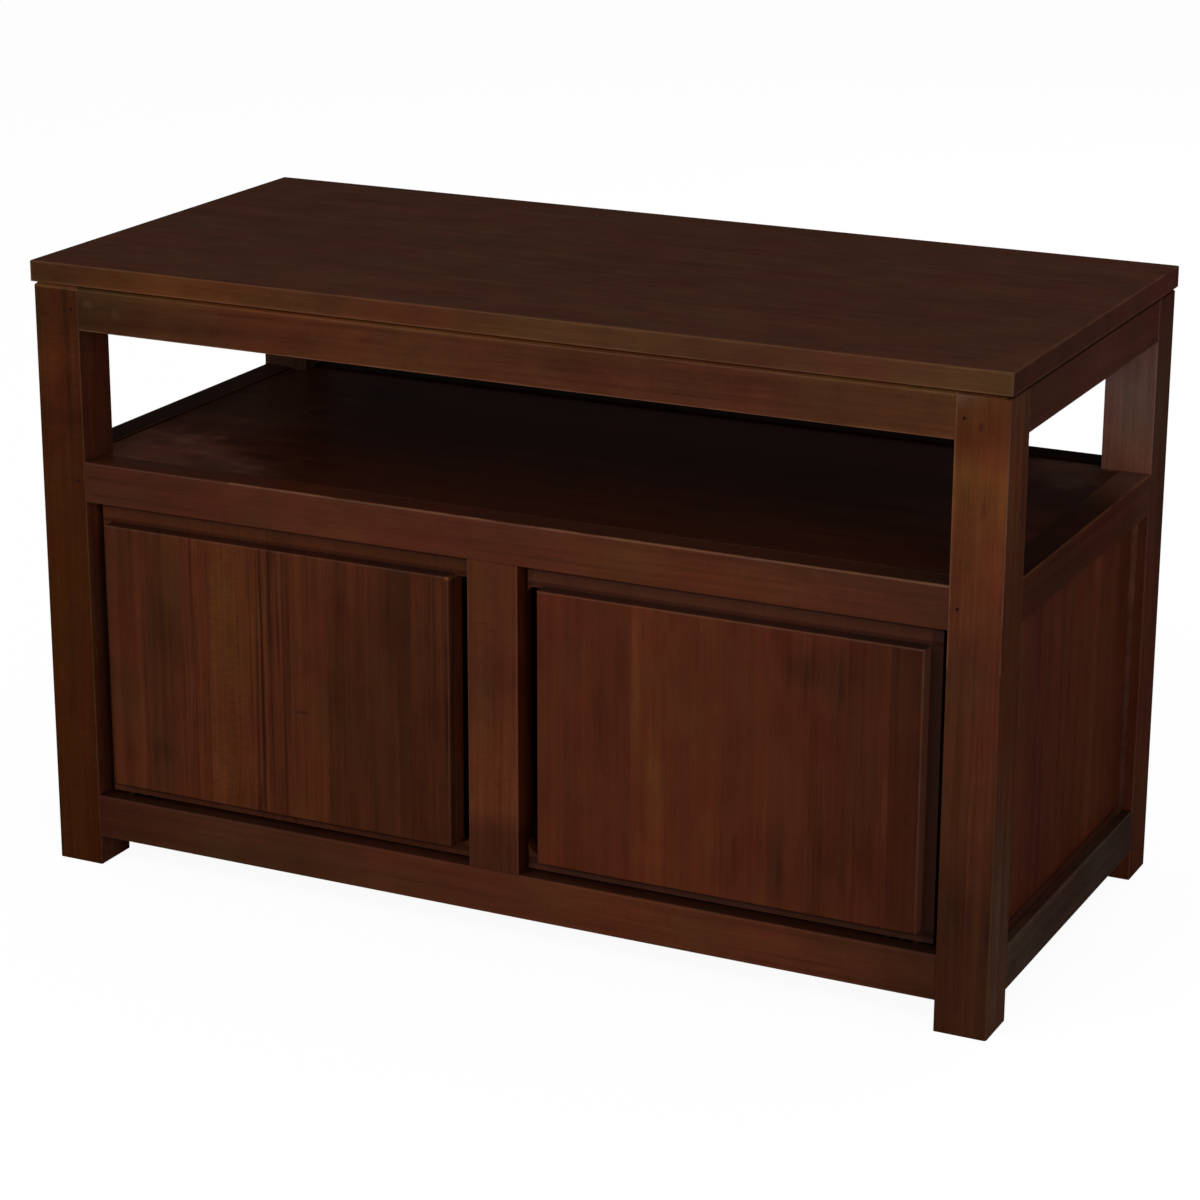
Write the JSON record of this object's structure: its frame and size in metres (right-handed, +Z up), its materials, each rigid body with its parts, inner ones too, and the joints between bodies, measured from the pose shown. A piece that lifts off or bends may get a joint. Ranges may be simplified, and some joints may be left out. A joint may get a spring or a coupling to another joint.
{
  "type": "tv stand",
  "caption": "Low hardwood television stand with a solid top, an open shelf bay and a cupboard behind inset raised-field doors pulled by finger slots.",
  "frame": {"origin": "on the floor under the middle of the stand", "axes": "+X to the right seen from the front, +Y towards the back, +Z up; doors closed"},
  "size_m": [0.953, 0.453, 0.59],
  "materials": {
    "leg_wood": "satin varnish over red-brown stain",
    "rail_wood": "satin varnish over red-brown stain",
    "top_wood": "satin varnish over dark brown stain",
    "panel_wood": "satin varnish over dark brown stain",
    "door_wood_left": "satin varnish over red-brown stain",
    "door_wood_right": "satin varnish over red-brown stain",
    "inner_wood": "plain oiled wood",
    "pin_wood": "dark wood, end grain",
    "leaf_brass": "satin",
    "steel": "zinc plated",
    "catch_plastic": "brown, matte",
    "magnet": "bare ferrite, matte"
  },
  "bodies": {
    "carcass": {"tabletop": "top_wood", "top_batten_left": "inner_wood", "top_batten_right": "inner_wood", "top_screws": "steel", "leg_front_left": "leg_wood", "leg_front_right": "leg_wood", "leg_rear_left": "leg_wood", "leg_rear_right": "leg_wood", "top_rail_front": "rail_wood", "top_rail_rear": "rail_wood", "top_rail_left": "rail_wood", "top_rail_right": "rail_wood", "mid_rail_front": "rail_wood", "mid_rail_rear": "rail_wood", "mid_rail_left": "rail_wood", "mid_rail_right": "rail_wood", "bottom_rail_front": "rail_wood", "bottom_rail_rear": "rail_wood", "bottom_rail_left": "rail_wood", "bottom_rail_right": "rail_wood", "centre_stile": "leg_wood", "joint_pins": "pin_wood", "shelf_board": "top_wood", "shelf_cleats": "inner_wood", "shelf_bearer": "inner_wood", "bottom_board": "inner_wood", "bottom_cleats": "inner_wood", "bottom_bearer": "inner_wood", "side_panel_left": "panel_wood", "side_panel_right": "panel_wood", "side_bead_left": "panel_wood", "side_bead_right": "panel_wood", "back_panel": "panel_wood", "frame_leaf_left_top": "leaf_brass", "frame_leaf_left_bottom": "leaf_brass", "frame_leaf_right_top": "leaf_brass", "frame_leaf_right_bottom": "leaf_brass", "catch_left": "catch_plastic", "catch_right": "catch_plastic", "catch_magnets": "magnet", "frame_screws": "steel"},
    "left_door": {"door_panel_left": "door_wood_left", "door_leaf_left_top": "leaf_brass", "door_leaf_left_bottom": "leaf_brass", "door_strike_left": "steel", "door_screws_left": "steel"},
    "right_door": {"door_panel_right": "door_wood_right", "door_leaf_right_top": "leaf_brass", "door_leaf_right_bottom": "leaf_brass", "door_strike_right": "steel", "door_screws_right": "steel"}
  },
  "joints": [
    {"name": "left_door_hinge", "type": "hinge", "parent": "carcass", "child": "left_door", "pos_m": [-0.402, -0.2045, 0.2175], "axis": [0, 0, -1], "range_deg": [0, 98]},
    {"name": "right_door_hinge", "type": "hinge", "parent": "carcass", "child": "right_door", "pos_m": [0.402, -0.2045, 0.2175], "axis": [0, 0, 1], "range_deg": [0, 98]}
  ]
}
